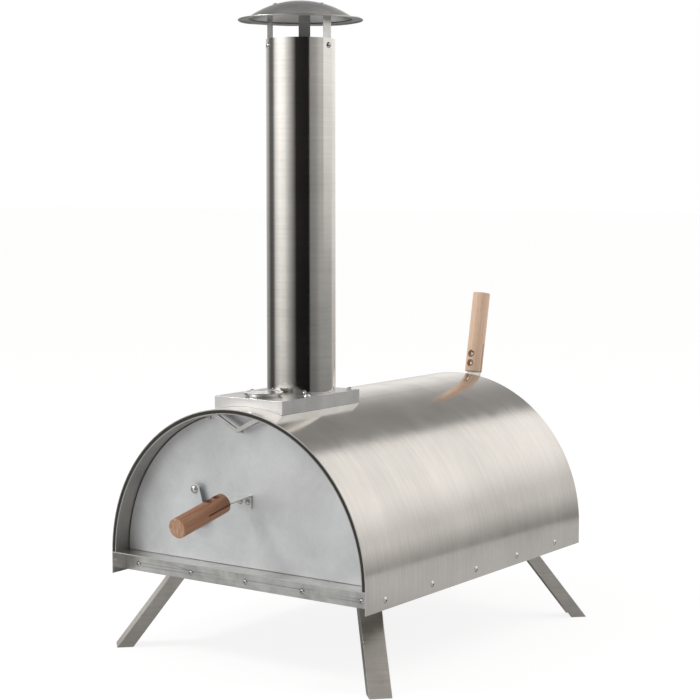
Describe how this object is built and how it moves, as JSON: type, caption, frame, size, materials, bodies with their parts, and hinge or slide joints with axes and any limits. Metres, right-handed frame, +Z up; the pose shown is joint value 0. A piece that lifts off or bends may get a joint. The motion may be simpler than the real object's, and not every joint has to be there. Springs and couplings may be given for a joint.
{
  "type": "wood fired pizza oven",
  "caption": "Portable wood fired pizza oven: half-round double-wall steel shell, lift-off door, tall chimney with rain cap, rear pellet hopper, fire tray, folding legs.",
  "frame": {"origin": "on the ground, at the middle of the whole oven's length and width", "axes": "+Z up, -Y out of the door, +X to the right of someone facing the door"},
  "size_m": [0.4418, 0.7292, 0.8342],
  "materials": {
    "brushed_steel": "satin, fine brushed grain",
    "heat_steel": "satin steel, dulled by heat",
    "bright_steel": "bright stainless fasteners",
    "dark_screws": "darker stainless screws, recessed",
    "dark_felt": "black fibre edge",
    "stone": "matt cordierite",
    "door_wood": "oiled reddish hardwood",
    "lid_wood": "pale beech",
    "dial_face": "satin white printed dial",
    "dial_glass": "clear flat glass",
    "needle_paint": "gloss red"
  },
  "bodies": {
    "oven": {"outer_shell": "brushed_steel", "insulation_blanket": "dark_felt", "inner_shell": "heat_steel", "rear_panel": "brushed_steel", "floor_plate": "heat_steel", "front_lip": "brushed_steel", "bottom_pan": "brushed_steel", "lip_rivets": "bright_steel", "side_rivets": "bright_steel", "rear_rivets": "bright_steel", "door_retainer": "brushed_steel", "retainer_screws": "bright_steel", "pizza_stone": "stone", "flame_baffle": "heat_steel", "chimney_base": "brushed_steel", "base_screws": "bright_steel", "flue_collar": "brushed_steel", "hopper_body": "brushed_steel", "hopper_rivets": "bright_steel", "leg_bracket_fl": "brushed_steel", "leg_bracket_fr": "brushed_steel", "leg_bracket_bl": "brushed_steel", "leg_bracket_br": "brushed_steel", "leg_pin_fl": "bright_steel", "leg_pin_fr": "bright_steel", "leg_pin_bl": "bright_steel", "leg_pin_br": "bright_steel", "thermometer_case": "bright_steel", "thermometer_dial": "dial_face", "thermometer_glass": "dial_glass", "thermometer_stem": "bright_steel"},
    "chimney": {"chimney_pipe": "brushed_steel", "cap_strap_left": "brushed_steel", "cap_strap_right": "brushed_steel", "cap_strap_rear": "brushed_steel", "strap_screws": "bright_steel", "chimney_cap": "brushed_steel", "cap_rivets": "bright_steel"},
    "needle": {"thermometer_needle": "needle_paint"},
    "door": {"door_panel": "brushed_steel", "door_bracket": "brushed_steel", "door_bracket_screws": "bright_steel", "door_handle": "door_wood", "door_handle_screws": "dark_screws", "peephole_pivot": "bright_steel"},
    "peephole_cover": {"peephole_cover": "brushed_steel"},
    "fire_tray": {"fire_tray": "brushed_steel", "fire_basket": "heat_steel", "tray_pull": "brushed_steel"},
    "hopper_lid": {"hopper_lid": "brushed_steel", "lid_bracket": "brushed_steel", "lid_handle": "lid_wood", "lid_handle_screws": "dark_screws"},
    "leg_fl": {"leg_fl": "brushed_steel"},
    "leg_fr": {"leg_fr": "brushed_steel"},
    "leg_bl": {"leg_bl": "brushed_steel"},
    "leg_br": {"leg_br": "brushed_steel"}
  },
  "joints": [
    {"name": "door_tilt_out", "type": "hinge", "parent": "oven", "child": "door", "pos_m": [0, -0.24116, 0.30025], "axis": [-1, 0, 0], "range_deg": [0, 16]},
    {"name": "peephole_swing", "type": "hinge", "parent": "door", "child": "peephole_cover", "pos_m": [-0.075, -0.24016, 0.221], "axis": [0, -1, 0], "range_deg": [-110, 110]},
    {"name": "chimney_lift_off", "type": "slide", "parent": "oven", "child": "chimney", "axis": [0, 0, 1], "range_m": [0, 0.15]},
    {"name": "dial_needle_turn", "type": "hinge", "parent": "oven", "child": "needle", "pos_m": [0, -0.19616, 0.3434], "axis": [0, 0, -1], "range_deg": [0, 270]},
    {"name": "fire_tray_slide", "type": "slide", "parent": "oven", "child": "fire_tray", "axis": [0, 1, 0], "range_m": [0, 0.18]},
    {"name": "hopper_lid_lift_off", "type": "slide", "parent": "oven", "child": "hopper_lid", "axis": [0, 0, 1], "range_m": [0, 0.12]},
    {"name": "leg_fl_fold", "type": "hinge", "parent": "oven", "child": "leg_fl", "pos_m": [-0.14576, -0.17692, 0.107], "axis": [0.7071, -0.7071, 0], "range_deg": [0, 124]},
    {"name": "leg_fr_fold", "type": "hinge", "parent": "oven", "child": "leg_fr", "pos_m": [0.14576, -0.17692, 0.107], "axis": [0.7071, 0.7071, 0], "range_deg": [0, 124]},
    {"name": "leg_bl_fold", "type": "hinge", "parent": "oven", "child": "leg_bl", "pos_m": [-0.14576, 0.19659, 0.107], "axis": [-0.7071, -0.7071, 0], "range_deg": [0, 124]},
    {"name": "leg_br_fold", "type": "hinge", "parent": "oven", "child": "leg_br", "pos_m": [0.14576, 0.19659, 0.107], "axis": [-0.7071, 0.7071, 0], "range_deg": [0, 124]}
  ]
}
